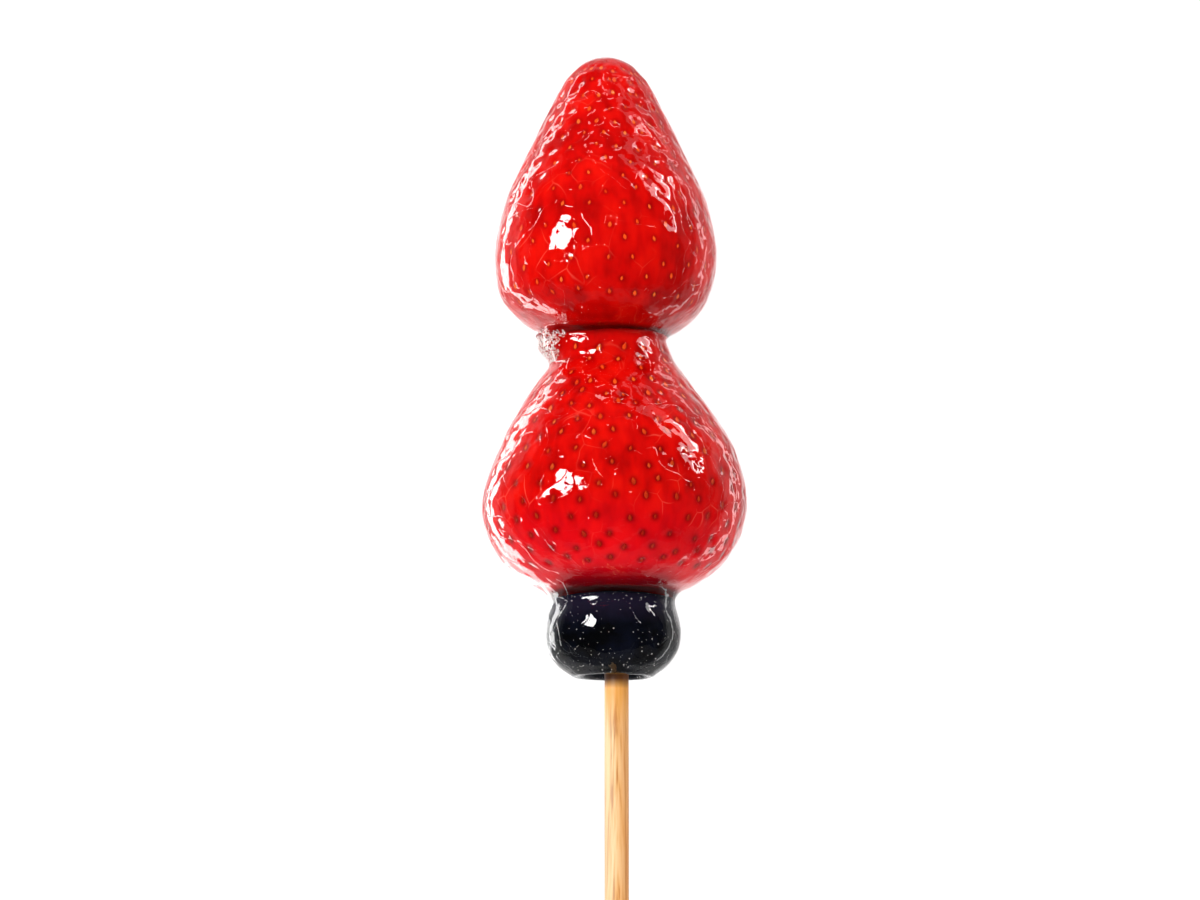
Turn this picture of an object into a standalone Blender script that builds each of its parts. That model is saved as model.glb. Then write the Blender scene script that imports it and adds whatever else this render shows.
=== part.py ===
"""A strawberry tanghulu, lying at rest with its shown side up.

Two hulled strawberries and a blueberry sit on a bamboo skewer, each under a shell of hard, clear sugar
that its solid includes. Every piece is shaped upright: +Z runs along the skewer to the berries' tips,
+X is the right of the shown side and -Y comes out of it. The empty rest_pose then lays the whole down
on small flat spots on the backs of the two strawberries.
"""

import math
import random

import bmesh
import bpy
import numpy as np

MM = 0.001

# The skewer is a 6 inch bamboo stick whose point stays inside the upper strawberry.
SKEWER_LENGTH = 150.0 * MM
SKEWER_RADIUS = 1.5 * MM
SKEWER_POINT_LENGTH = 12.0 * MM
SKEWER_POINT_RADIUS = 0.35 * MM
SKEWER_EDGE = 0.25 * MM
SKEWER_SIDES = 20

# The bores clear the skewer by 0.3 mm, the upper one ends just past its point.
BORE_RADIUS = SKEWER_RADIUS + 0.3 * MM
BORE_END = SKEWER_LENGTH + 0.6 * MM
BORE_START = 70.0 * MM
BORE_SIDES = 20

# Each fruit's base, measured along the skewer from its handle end, and its axis beside the skewer's.
BLUEBERRY_BASE = 80.4 * MM
BLUEBERRY_SHIFT = -0.45 * MM
LOWER_BASE = 90.6 * MM
LOWER_SHIFT = -0.3 * MM
UPPER_BASE = 122.8 * MM
UPPER_SHIFT = -1.3 * MM

# Outlines from the tip, down the side and round the base rim into the hulled hollow, in mm:
# height over the base, radius on the left, radius on the right.
UPPER_OUTLINE = (
    (34.7, 0.0, 0.0),
    (34.2, 2.2, 2.2),
    (32.4, 4.5, 4.6),
    (28.4, 6.8, 6.9),
    (22.5, 9.65, 9.75),
    (16.5, 12.35, 12.45),
    (9.6, 13.6, 13.8),
    (4.7, 13.05, 12.75),
    (2.7, 11.6, 11.6),
    (0.7, 9.1, 9.4),
    (0.05, 7.9, 7.9),
    (0.6, 6.8, 6.8),
    (2.6, 4.6, 4.6),
    (3.2, 2.3, 2.3),
    (3.3, 0.0, 0.0),
)
LOWER_OUTLINE = (
    (34.2, 0.0, 0.0),
    (33.7, 2.8, 2.8),
    (31.9, 5.3, 5.2),
    (29.4, 6.9, 6.5),
    (25.0, 10.3, 10.1),
    (18.0, 14.0, 14.75),
    (10.2, 16.25, 16.2),
    (4.2, 13.85, 13.65),
    (1.2, 10.1, 9.95),
    (0.1, 8.2, 8.0),
    (0.5, 6.6, 6.6),
    (1.6, 5.0, 5.0),
    (2.0, 2.6, 2.6),
    (2.1, 0.0, 0.0),
)
UPPER_DEPTH = 1.02
LOWER_DEPTH = 0.97
OVAL = 0.012
THREE_SIDED = 0.006

# Seeds sit in shallow pits at every second crossing of rows and columns, staggered from row to row.
ROW_SPACING = 2.3 * MM
UPPER_COLUMNS = 44
LOWER_COLUMNS = 52
UPPER_SEED_HEIGHTS = (2.2 * MM, 33.2 * MM)
LOWER_SEED_HEIGHTS = (2.0 * MM, 27.0 * MM)
SEED_HALF_WIDTH = 0.55 * MM
SEED_STRETCH = 1.35
SEED_MIN_COLUMN = 1.0 * MM
SEED_JITTER = 0.14 * MM
SEED_DRAW = 7
PIT_DEPTH = 0.3 * MM
SEED_RISE = 0.45 * MM

# The two flat spots that the part rests on are cut this deep, and seeds stay this far from them.
FLAT_DEPTH = 0.25 * MM
FLAT_CLEAR = 4.6 * MM
FLOOR_SIZE = (100.0 * MM, 300.0 * MM, 20.0 * MM)
STEEPEST_REST = math.radians(8.0)
REST_HALVINGS = 40

# The blueberry is a full, flattened ball whose low five-lobed crown faces the handle.
# Its heights are over the crown's rim.
BLUEBERRY_RADIUS = 8.4 * MM
BLUEBERRY_WIDEST = 5.5 * MM
BLUEBERRY_UP = 5.5 * MM
BLUEBERRY_DOWN = 5.5 * MM
BLUEBERRY_FULLNESS = 2.7
BLUEBERRY_ROWS = 12
BLUEBERRY_STEPS = 40
CROWN_HEIGHT = 0.6 * MM
CROWN_PROFILE = (
    (5.25, 0.35),
    (4.9, 0.0),
    (4.3, 0.0),
    (3.4, 1.3),
    (0.0, 1.5),
)
CROWN_LOBES = 5
CROWN_NOTCH = 0.4 * MM

# The sugar that set in the neck between the strawberries is a ring, thickest on the left as a web.
# Its heights are over the lower strawberry's base.
NECK_TOP = 31.8 * MM
NECK_BOTTOM = 29.0 * MM
NECK_SLANT = 0.8 * MM
NECK_GAP = 0.35 * MM
NECK_THICKNESS = 0.4 * MM
WEB_THICKNESS = 3.2 * MM
WEB_SHARPNESS = 3.0
NECK_ROWS = 5
NECK_STEPS = 48

CURVE_FINENESS = 24
MERGE = 0.00001
SHARP_ANGLE = math.radians(50.0)


def clear_scene():
    """Removes every object that the file opened with."""
    for thing in list(bpy.data.objects):
        bpy.data.objects.remove(thing, do_unlink=True)


def collection(name):
    """A new collection in the scene."""
    made = bpy.data.collections.new(name)
    bpy.context.scene.collection.children.link(made)
    return made


def material(name, colour, roughness, coat=0.0):
    """A Principled material with one plain colour."""
    made = bpy.data.materials.new(name)
    made.use_nodes = True
    shader = made.node_tree.nodes["Principled BSDF"]
    shader.inputs["Base Color"].default_value = (*colour, 1.0)
    shader.inputs["Roughness"].default_value = roughness
    shader.inputs["Metallic"].default_value = 0.0
    shader.inputs["Coat Weight"].default_value = coat
    return made


def mixed(one, two, low, high, t):
    """The row at t between one at low and two at high."""
    share = (t - low) / (high - low)
    return (1 - share) * one + share * two


def smooth_curve(points):
    """Rows of a centripetal Catmull-Rom curve through the given rows, level where it meets the axis."""
    given = np.array(points, dtype=float)
    over_axis = np.array([1.0] + [-1.0] * (given.shape[1] - 1))
    given = np.vstack((given[1] * over_axis, given, given[-2] * over_axis))
    curve = []
    for p0, p1, p2, p3 in zip(given, given[1:], given[2:], given[3:]):
        t1 = math.sqrt(np.linalg.norm(p1 - p0))
        t2 = t1 + math.sqrt(np.linalg.norm(p2 - p1))
        t3 = t2 + math.sqrt(np.linalg.norm(p3 - p2))
        for t in np.linspace(t1, t2, CURVE_FINENESS, endpoint=False):
            a1 = mixed(p0, p1, 0.0, t1, t)
            a2 = mixed(p1, p2, t1, t2, t)
            a3 = mixed(p2, p3, t2, t3, t)
            b1 = mixed(a1, a2, 0.0, t2, t)
            b2 = mixed(a2, a3, t1, t3, t)
            curve.append(mixed(b1, b2, t1, t2, t))
    curve.append(given[-2])
    return np.array(curve)


def by_arc(curve, spacing):
    """The curve's rows at even steps of about the given length along it."""
    steps = np.linalg.norm(np.diff(curve, axis=0), axis=1)
    run = np.concatenate(([0.0], np.cumsum(steps)))
    count = round(run[-1] / spacing)
    stations = np.linspace(0.0, run[-1], count + 1)
    return np.array([np.interp(stations, run, column) for column in curve.T]).T


def profile_object(name, profile, steps, home, closed=False):
    """An object turned about Z from (radius, height) points, by a Screw modifier."""
    count = len(profile)
    edges = [(i, i + 1) for i in range(count - 1)]
    if closed:
        edges.append((count - 1, 0))
    mesh = bpy.data.meshes.new(name)
    mesh.from_pydata([(radius, 0.0, height) for radius, height in profile], edges, [])
    turned = bpy.data.objects.new(name, mesh)
    home.objects.link(turned)
    screw = turned.modifiers.new("turn", "SCREW")
    screw.steps = steps
    screw.render_steps = steps
    screw.use_merge_vertices = True
    screw.merge_threshold = MERGE
    screw.use_smooth_shade = True
    return turned


def apply_modifiers(thing):
    """Swaps an object's mesh for the one that its modifiers make."""
    evaluated = thing.evaluated_get(bpy.context.evaluated_depsgraph_get())
    mesh = bpy.data.meshes.new_from_object(evaluated)
    thing.modifiers.clear()
    thing.data = mesh


def make_strawberry(name, outline, columns, depth, base, shift, home):
    """A turned strawberry, leaned, deepened and made uneven; returns it with its rows."""
    rows = by_arc(smooth_curve(np.array(outline) * MM), ROW_SPACING)
    heights = rows[:, 0]
    radii = (rows[:, 1] + rows[:, 2]) / 2
    leans = (rows[:, 2] - rows[:, 1]) / 2
    berry = profile_object(name, list(zip(radii, heights)), columns, home)
    apply_modifiers(berry)
    lattice = {}
    for vertex in berry.data.vertices:
        radius = math.hypot(vertex.co.x, vertex.co.y)
        angle = math.atan2(vertex.co.y, vertex.co.x)
        row = int(np.argmin((radii - radius) ** 2 + (heights - vertex.co.z) ** 2))
        lattice[vertex.index] = (row, round(angle / math.tau * columns) % columns)
        wobble = 1 + OVAL * math.sin(2 * angle) + THREE_SIDED * math.sin(3 * angle + base / MM)
        vertex.co.x = vertex.co.x * wobble + leans[row] + shift
        vertex.co.y = vertex.co.y * wobble * depth
        vertex.co.z += base
    return berry, rows, lattice


def resting_tilt(berries):
    """The slope at which the backs of both berries touch one floor, and the two touching points."""

    def reach(berry, slope):
        deepest = max(berry.data.vertices, key=lambda v: v.co.y * math.cos(slope) + v.co.z * math.sin(slope))
        return deepest.co.y * math.cos(slope) + deepest.co.z * math.sin(slope), deepest.co.copy()

    low, high = 0.0, STEEPEST_REST
    for _ in range(REST_HALVINGS):
        slope = (low + high) / 2
        if reach(berries[0], slope)[0] < reach(berries[1], slope)[0]:
            low = slope
        else:
            high = slope
    return slope, [reach(berry, slope) for berry in berries]


def add_seeds(berry, rows, lattice, base, seed_heights, columns, touch, draw):
    """Pits the lattice at every second crossing and raises a four-sided seed in each pit."""
    shape = bmesh.new()
    shape.from_mesh(berry.data)
    shape.verts.ensure_lookup_table()
    rim = int(np.argmin(rows[:, 0]))
    odd = {index for index, (row, column) in lattice.items() if (row + column) % 2}
    for face in list(shape.faces):
        even = [vertex for vertex in face.verts if vertex.index not in odd]
        if len(face.verts) == 4 and len(even) == 2:
            bmesh.utils.face_split(face, even[0], even[1])
    chosen = []
    for index in sorted(odd):
        row, column = lattice[index]
        vertex = shape.verts[index]
        width = math.tau * (rows[row, 1] + rows[row, 2]) / 2 / columns
        if not seed_heights[0] < vertex.co.z - base < seed_heights[1] or row >= rim:
            continue
        if width < SEED_MIN_COLUMN and (column // 2 + row // 2) % 2:
            continue
        if width < SEED_MIN_COLUMN / 2 or (vertex.co - touch).length < FLAT_CLEAR:
            continue
        chosen.append(vertex)
    for vertex in chosen:
        vertex.co.x += draw.uniform(-SEED_JITTER, SEED_JITTER)
        vertex.co.z += draw.uniform(-SEED_JITTER, SEED_JITTER)
    made = bmesh.ops.bevel(
        shape, geom=chosen, offset=SEED_HALF_WIDTH, offset_type="OFFSET", affect="VERTICES", segments=1,
        clamp_overlap=True)
    shape.normal_update()
    seeds = [face for face in made["faces"] if len(face.verts) == 4]
    for face in seeds:
        middle = face.calc_center_median()
        inward = -face.normal.copy()
        for vertex in face.verts:
            offset = vertex.co - middle
            offset.z *= SEED_STRETCH
            vertex.co = middle + offset + inward * PIT_DEPTH
    shape.normal_update()
    normals = [face.normal.copy() for face in seeds]
    poked = bmesh.ops.poke(shape, faces=seeds)
    for vertex, normal in zip(poked["verts"], normals):
        vertex.co += normal * SEED_RISE
    bmesh.ops.triangulate(shape, faces=shape.faces)
    bmesh.ops.recalc_face_normals(shape, faces=shape.faces)
    shape.to_mesh(berry.data)
    shape.free()


def make_blueberry(home):
    """A full, flattened ball with a lobed crown round a crater at its lower end."""
    profile = [(0.0, BLUEBERRY_WIDEST + BLUEBERRY_UP)]
    for i in range(1, BLUEBERRY_ROWS):
        angle = math.pi * i / BLUEBERRY_ROWS
        across = math.sin(angle) ** (2 / BLUEBERRY_FULLNESS)
        along = abs(math.cos(angle)) ** (2 / BLUEBERRY_FULLNESS)
        height = BLUEBERRY_WIDEST + (BLUEBERRY_UP if math.cos(angle) > 0 else -BLUEBERRY_DOWN) * along
        if height > CROWN_HEIGHT:
            profile.append((BLUEBERRY_RADIUS * across, height))
    profile += [(radius * MM, height * MM) for radius, height in CROWN_PROFILE]
    berry = profile_object("blueberry", profile, BLUEBERRY_STEPS, home)
    apply_modifiers(berry)
    for vertex in berry.data.vertices:
        angle = math.atan2(vertex.co.y, vertex.co.x)
        if vertex.co.z < CROWN_HEIGHT:
            vertex.co.z += CROWN_NOTCH * (0.5 - 0.5 * math.cos(CROWN_LOBES * angle))
        vertex.co.x += BLUEBERRY_SHIFT
        vertex.co.z += BLUEBERRY_BASE
    return berry


def make_skewer(home):
    """The round stick, pointed at the top and softly edged at the handle end."""
    profile = (
        (0.0, SKEWER_LENGTH),
        (SKEWER_POINT_RADIUS, SKEWER_LENGTH - SKEWER_POINT_RADIUS),
        (SKEWER_RADIUS, SKEWER_LENGTH - SKEWER_POINT_LENGTH),
        (SKEWER_RADIUS, SKEWER_EDGE),
        (SKEWER_RADIUS - SKEWER_EDGE, 0.0),
        (0.0, 0.0),
    )
    return profile_object("skewer", profile, SKEWER_SIDES, home)


def make_neck_sugar(home):
    """A ring of sugar that follows the lower strawberry's neck, with a thick web on the left."""
    outline = smooth_curve(np.array(LOWER_OUTLINE) * MM)
    side = outline[:int(np.argmax(outline[:, 1]))]
    heights = side[::-1, 0]
    radii = ((side[:, 1] + side[:, 2]) / 2)[::-1]
    # Turned with radii of 1 inside and 2 outside and heights from 0 to 1, then set to size.
    levels = np.linspace(1.0, 0.0, NECK_ROWS)
    profile = [(2.0, level) for level in levels] + [(1.0, level) for level in reversed(levels)]
    ring = profile_object("sugar_neck", profile, NECK_STEPS, home, closed=True)
    apply_modifiers(ring)
    for vertex in ring.data.vertices:
        outside = math.hypot(vertex.co.x, vertex.co.y) > 1.5
        angle = math.atan2(vertex.co.y, vertex.co.x)
        share = vertex.co.z
        bottom = NECK_BOTTOM + NECK_SLANT * math.cos(angle)
        height = bottom + (NECK_TOP - bottom) * share
        radius = np.interp(height, heights, radii) + NECK_GAP
        if outside:
            left = (0.5 - 0.5 * math.cos(angle)) ** WEB_SHARPNESS
            radius += NECK_THICKNESS + WEB_THICKNESS * left * share
        vertex.co.x = radius * math.cos(angle) + LOWER_SHIFT
        vertex.co.y = radius * math.sin(angle) * LOWER_DEPTH
        vertex.co.z = height + LOWER_BASE
    return ring


def cutter(thing, home):
    """Marks an object as a cutting shape."""
    thing.hide_render = True
    thing.display_type = "WIRE"
    for owner in list(thing.users_collection):
        owner.objects.unlink(thing)
    home.objects.link(thing)
    return thing


def cut(thing, tool, name):
    """Takes a cutting shape out of an object."""
    difference = thing.modifiers.new(name, "BOOLEAN")
    difference.operation = "DIFFERENCE"
    difference.object = tool


def lay_down(rest_pose, fruit, tilt, reach):
    """Turns the empty so that the whole lies on its back, the middle of its footprint at the origin."""
    rest_pose.rotation_euler = (-math.pi / 2 - tilt, 0.0, 0.0)
    turn = rest_pose.rotation_euler.to_matrix()
    laid = [turn @ vertex.co for part in fruit for vertex in part.data.vertices]
    left = min(point.x for point in laid)
    right = max(point.x for point in laid)
    handle_end = -(SKEWER_RADIUS - SKEWER_EDGE) * math.sin(tilt)
    tip = max(point.y for point in laid)
    rest_pose.location = (-(left + right) / 2, -(handle_end + tip) / 2, reach - FLAT_DEPTH)


def main():
    clear_scene()
    parts = collection("strawberry_tanghulu")
    cutters = collection("cutters")
    rest_pose = bpy.data.objects.new("rest_pose", None)
    parts.objects.link(rest_pose)

    upper, upper_rows, upper_lattice = make_strawberry(
        "strawberry_top", UPPER_OUTLINE, UPPER_COLUMNS, UPPER_DEPTH, UPPER_BASE, UPPER_SHIFT, parts)
    lower, lower_rows, lower_lattice = make_strawberry(
        "strawberry_bottom", LOWER_OUTLINE, LOWER_COLUMNS, LOWER_DEPTH, LOWER_BASE, LOWER_SHIFT, parts)
    tilt, touches = resting_tilt((upper, lower))
    draw = random.Random(SEED_DRAW)
    add_seeds(upper, upper_rows, upper_lattice, UPPER_BASE, UPPER_SEED_HEIGHTS, UPPER_COLUMNS,
              touches[0][1], draw)
    add_seeds(lower, lower_rows, lower_lattice, LOWER_BASE, LOWER_SEED_HEIGHTS, LOWER_COLUMNS,
              touches[1][1], draw)
    blueberry = make_blueberry(parts)
    skewer = make_skewer(parts)
    neck_sugar = make_neck_sugar(parts)

    bpy.ops.mesh.primitive_cylinder_add(
        vertices=BORE_SIDES, radius=BORE_RADIUS, depth=BORE_END - BORE_START,
        location=(0.0, 0.0, (BORE_START + BORE_END) / 2))
    bore = cutter(bpy.context.object, cutters)
    bore.name = "bore"
    for fruit in (upper, lower, blueberry):
        cut(fruit, bore, "bore")

    lay_down(rest_pose, (upper, lower, blueberry), tilt, touches[0][0])
    width, length, depth = FLOOR_SIZE
    bpy.ops.mesh.primitive_cube_add(size=1.0, scale=(width, length, depth), location=(0.0, 0.0, -depth / 2))
    floor = cutter(bpy.context.object, cutters)
    floor.name = "floor"
    for thing in (upper, lower, blueberry, skewer, neck_sugar, bore):
        thing.parent = rest_pose
    for berry in (upper, lower):
        cut(berry, floor, "flat_spot")

    looks = {
        "strawberry_top": material("glazed_red", (0.80, 0.008, 0.004), 0.12, 1.0),
        "strawberry_bottom": material("glazed_deep_red", (0.68, 0.010, 0.006), 0.12, 1.0),
        "blueberry": material("glazed_blue_black", (0.010, 0.012, 0.024), 0.15, 1.0),
        "skewer": material("bamboo", (0.86, 0.58, 0.28), 0.55),
        "sugar_neck": material("clear_sugar", (0.93, 0.82, 0.78), 0.05, 1.0),
    }
    for part in (upper, lower, blueberry, skewer, neck_sugar):
        part.data.materials.append(looks[part.name])
        part.data.shade_smooth()
        part.data.set_sharp_from_angle(angle=SHARP_ANGLE)


main()
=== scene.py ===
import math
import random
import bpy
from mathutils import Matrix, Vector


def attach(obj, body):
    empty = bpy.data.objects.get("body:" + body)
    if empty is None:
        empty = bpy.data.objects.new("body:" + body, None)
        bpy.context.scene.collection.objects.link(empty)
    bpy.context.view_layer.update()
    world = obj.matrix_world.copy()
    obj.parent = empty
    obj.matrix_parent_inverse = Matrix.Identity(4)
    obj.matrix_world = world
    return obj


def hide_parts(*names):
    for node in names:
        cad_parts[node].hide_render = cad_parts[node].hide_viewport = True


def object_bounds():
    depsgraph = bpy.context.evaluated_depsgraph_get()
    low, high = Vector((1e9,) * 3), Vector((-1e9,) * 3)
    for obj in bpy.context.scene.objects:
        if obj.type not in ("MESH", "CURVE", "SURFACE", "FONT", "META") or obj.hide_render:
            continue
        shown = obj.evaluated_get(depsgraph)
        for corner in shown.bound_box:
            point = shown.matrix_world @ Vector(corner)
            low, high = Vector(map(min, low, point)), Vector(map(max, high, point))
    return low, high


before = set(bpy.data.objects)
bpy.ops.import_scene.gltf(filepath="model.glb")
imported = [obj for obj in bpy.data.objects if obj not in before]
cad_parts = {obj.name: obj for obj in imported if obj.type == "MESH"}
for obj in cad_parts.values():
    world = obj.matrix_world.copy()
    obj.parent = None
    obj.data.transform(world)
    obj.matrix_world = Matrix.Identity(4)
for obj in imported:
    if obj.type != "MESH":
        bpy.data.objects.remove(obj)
cad_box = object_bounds()

# Looks for a strawberry tanghulu: red flesh, seeds, a blueberry and a bamboo stick under one clear
# shell of set sugar. Every piece is shaped upright, +Z along the stick to the tips, +X the right of the
# shown side and -Y out of it, in millimetres, and then laid into the frame by the stick's own place.

from types import SimpleNamespace

import bpy
import numpy as np
from mathutils import Matrix, Vector, noise

MM = 0.001

# Outlines of the sugared berries down to the base rim, the upper one's from its tip and the lower one's
# from under the neck: height over the base, radius on the left, radius on the right.
UPPER_OUTLINE = (
    (34.7, 0.0, 0.0),
    (34.2, 2.2, 2.2),
    (32.4, 4.5, 4.6),
    (28.4, 6.8, 6.9),
    (22.5, 9.65, 9.75),
    (16.5, 12.35, 12.45),
    (9.6, 13.6, 13.8),
    (4.7, 13.05, 12.75),
    (2.7, 11.6, 11.6),
    (0.7, 9.1, 9.4),
    (0.05, 7.9, 7.9),
)
LOWER_OUTLINE = (
    (25.0, 10.3, 10.1),
    (18.0, 14.0, 14.75),
    (10.2, 16.25, 16.2),
    (4.2, 13.85, 13.65),
    (1.2, 10.1, 9.95),
    (0.1, 8.2, 8.0),
)
# The flesh goes on past the rim into a shallow hollow, and the lower berry's also up through the neck.
UPPER_FLESH = UPPER_OUTLINE + ((0.5, 6.8, 6.8), (1.0, 4.6, 4.6), (1.1, 2.3, 2.3), (1.1, 0.0, 0.0))
LOWER_FLESH = (
    (34.2, 0.0, 0.0),
    (33.8, 3.0, 3.6),
    (32.5, 5.8, 6.25),
    (31.3, 6.15, 6.5),
    (29.4, 6.6, 7.1),
) + LOWER_OUTLINE + ((0.4, 6.6, 6.6), (0.6, 5.0, 5.0), (0.5, 2.6, 2.6), (0.5, 0.0, 0.0))

# Each berry's base height on the stick, its shift to the right, its depth for its width, its columns of
# seed places, the heights and sizes of its seeds, the spacing below which half of them are left out,
# its pits' radius, and how much painted shade darkens its pits, its base rim and its neck.
UPPER = SimpleNamespace(
    name="top", flesh=UPPER_FLESH, base=122.8, shift=-1.3, depth=1.02, columns=44,
    seed_heights=(2.2, 33.2), seed_sizes=(0.46, 0.80), crowded=0.6,
    pit=0.40, painted_pit_shade=0.5, painted_rim_shade=0.1, painted_neck_shade=0.0)
LOWER = SimpleNamespace(
    name="bottom", flesh=LOWER_FLESH, base=90.6, shift=-0.3, depth=0.97, columns=52,
    seed_heights=(2.0, 30.5), seed_sizes=(0.55, 0.92), crowded=1.1,
    pit=0.48, painted_pit_shade=0.75, painted_rim_shade=0.85, painted_neck_shade=0.2)
OVAL = 0.012
THREE_SIDED = 0.006
ROW_SPACING = 2.3
FINER = 8
# Painted shade at the base rim fades out between these heights and these distances off the middle; up
# the lower berry's neck it comes in between these heights.
RIM_HEIGHTS = (0.5, 3.2)
RIM_MIDDLE = (5.0, 9.0)
NECK_HEIGHTS = (30.5, 32.0)
FLESH_GAP = 0.05
FLESH_LUMPS = 0.08
FLESH_LUMP_SIZE = 4.0
FLESH_CLEARANCE = 0.25

# A seed's half sizes, before its own size counts, and how far its middle lies under the sugar's depth.
SEED_WIDTH = 0.33
SEED_LENGTH = 0.54
SEED_TIP = 0.56
SEED_THICKNESS = 0.26
SEED_SUNK = 0.14
SEED_CLEARANCE = 0.3
LEAST_SEED_SPACING = 0.5
SEED_TURN = 0.35
SEED_ASIDE = 0.5
SEED_ALONG = 0.45

# The sugar's outer surface between the berries and round the blueberry:
# height along the stick, left and right reach from the stick's axis.
UPPER_NECK = (
    (122.4, 7.15, 6.5),
    (121.95, 6.75, 6.15),
    (121.3, 6.95, 6.35),
    (120.4, 7.35, 6.75),
    (119.5, 7.8, 7.15),
    (118.5, 8.45, 7.75),
)
LOWER_NECK = (
    (90.9, 8.9, 7.8),
    (89.9, 8.2, 7.2),
    (88.9, 8.2, 7.3),
    (87.4, 8.7, 7.7),
    (85.9, 8.9, 7.9),
    (83.9, 8.6, 7.6),
    (81.9, 7.3, 6.3),
    (80.9, 6.0, 5.0),
    (80.45, 5.2, 4.3),
    (80.6, 4.5, 3.7),
    (81.6, 3.6, 3.1),
    (81.9, 2.3, 2.3),
    (81.7, 1.6, 1.6),
    (82.2, 0.9, 0.9),
    (82.6, 0.0, 0.0),
)
WEB_THICKNESS = 2.9
WEB_SHARPNESS = 3
GLAZE_COLUMNS = 288
GLAZE_SPACING = 0.33
GLAZE_DEPTH = 0.38
# Waves of the surface: wavelength, height and the noise's seed.
GLAZE_WAVES = ((3.2, 0.05, 3), (1.3, 0.02, 5))
GLAZE_LOWERED = 0.05
RIDGE_SIZE = 1.5
RIDGE_HEIGHT = 0.11
RIDGE_SEED = 8
RIDGE_STRETCH = 0.3
CALM_BELOW = 100.0
CALM_CRATER = (2.0, 3.5)
# Patches that shape the two large highlights, pressed in on the lower berry and raised on the upper:
# right, height along the stick, width, height and how far out.
HIGHLIGHT_PATCHES = ((-6.4, 102.8, 2.8, 4.2, -0.09), (-6.5, 133.2, 2.5, 3.5, 0.04))
# Dents over the seeds: radius and depth. They are deepest near the upper tip.
LOWER_DENT = (0.6, 0.10)
UPPER_DENT = (0.55, 0.07)
TIP_DENT = (0.70, 0.16)
TIP_ABOVE = 138.0

BLUEBERRY_OUTLINE = (
    (91.2, 0.0, 0.0),
    (91.1, 3.0, 3.0),
    (90.6, 5.2, 5.2),
    (89.6, 6.7, 6.7),
    (87.9, 7.8, 7.8),
    (85.9, 8.05, 8.05),
    (83.9, 7.7, 7.7),
    (82.2, 6.6, 6.6),
    (81.3, 5.4, 5.4),
    (80.75, 4.7, 4.7),
    (81.0, 4.1, 4.1),
    (82.1, 3.3, 3.3),
    (82.4, 1.7, 1.7),
    (82.4, 0.0, 0.0),
)
BLUEBERRY_SHIFT = -0.45
BLUEBERRY_COLUMNS = 180
BLUEBERRY_SPACING = 0.3
CROWN_HEIGHTS = (80.7, 81.6)
CROWN_RADII = (3.0, 4.0)
CROWN_DEPTH = 0.45
SKIN_LUMP_SIZE = 3.0
SKIN_LUMP_SEED = 11
SKIN_LUMPS = 0.05

STICK_LENGTH = 150.0
STICK_RADIUS = 1.5
STICK_POINT = 12.0
STICK_POINT_RADIUS = 0.35
STICK_CHAMFER = 0.25
STICK_FLUTE_SIZE = 0.55
STICK_FLUTE_DEPTH = 0.03
STICK_FLUTE_STRETCH = 0.02
STICK_FLUTE_SEED = 21
STICK_SHAVED = 0.02
STICK_COLUMNS = 48
STICK_ROWS = 150

BERRY_BUBBLES = 520
WEB_BUBBLES = 1000
WEB_BUBBLE_HEIGHTS = (119.0, 122.6)
# The stretch of the blueberry's outline with bubbles over it, as shares of its length.
BUBBLED_SIDE = (0.28, 0.78)
SIDE_STEPS = 200
BERRY_BUBBLES_OUT = 0.10
WEB_BUBBLE_DEPTHS = (0.2, 1.6)
WEB_BUBBLE_ANGLES = (-0.9, 1.0)
# Bubbles' radii: the least one, and what the largest adds to it.
BERRY_BUBBLE_RADII = (0.024, 0.05)
WEB_BUBBLE_RADII = (0.06, 0.08)

# Stretches along the frame's Y, in metres, over which a look comes or goes.
# Painted pink light from below fades out up the lower berry over this stretch.
PAINTED_LOW_LIGHT_FADES = (0.012, 0.024)
BROWN_SEEDS_FADE = (0.020, 0.038)
# A painted purplish reflection of the strawberry comes in over this stretch of the blueberry's top.
PAINTED_PURPLE_REFLECTION_COMES = (0.008, 0.0105)
SUGAR_PITS_COME = (0.012, 0.015)
SUGAR_WAVES_COME = (0.006, 0.014)
WET_STICK_COMES = (-0.0045, -0.0002)
# Painted shade where the stick goes into the blueberry's crater comes in over this stretch.
PAINTED_CRATER_SHADE_COMES = (0.0004, 0.0016)

# The floor glows in and round these circles under the fruit: x, y and radius in millimetres.
GLOW_CIRCLES = ((-0.2, 7.0, 8.5), (0.0, 26.0, 16.4), (-0.5, 38.0, 9.5), (-1.1, 55.0, 14.0),
                (-1.3, 66.0, 9.5), (-1.3, 74.0, 4.5))
FLOOR_HALF = 3.0
FLOOR_SEEN = 0.96
SKY_STRENGTH = 0.03

# The photo's framing: metres for each of its pixels at the stick, its middle in pixels to the right of
# the stick and above the top of the bare stick, that top's height, and how far the camera looks up.
PIXEL = 0.0001225
PICTURE_WIDTH = 1200
MIDDLE_RIGHT = 600 - 616.5
MIDDLE_UP = 682 - 450
BARE_STICK = 80.0
PITCH = math.radians(8.0)
CAMERA_DISTANCE = 0.6
SENSOR = 36.0


def mixed(one, two, low, high, t):
    """The row at t between one at low and two at high."""
    share = (t - low) / (high - low)
    return (1 - share) * one + share * two


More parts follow.
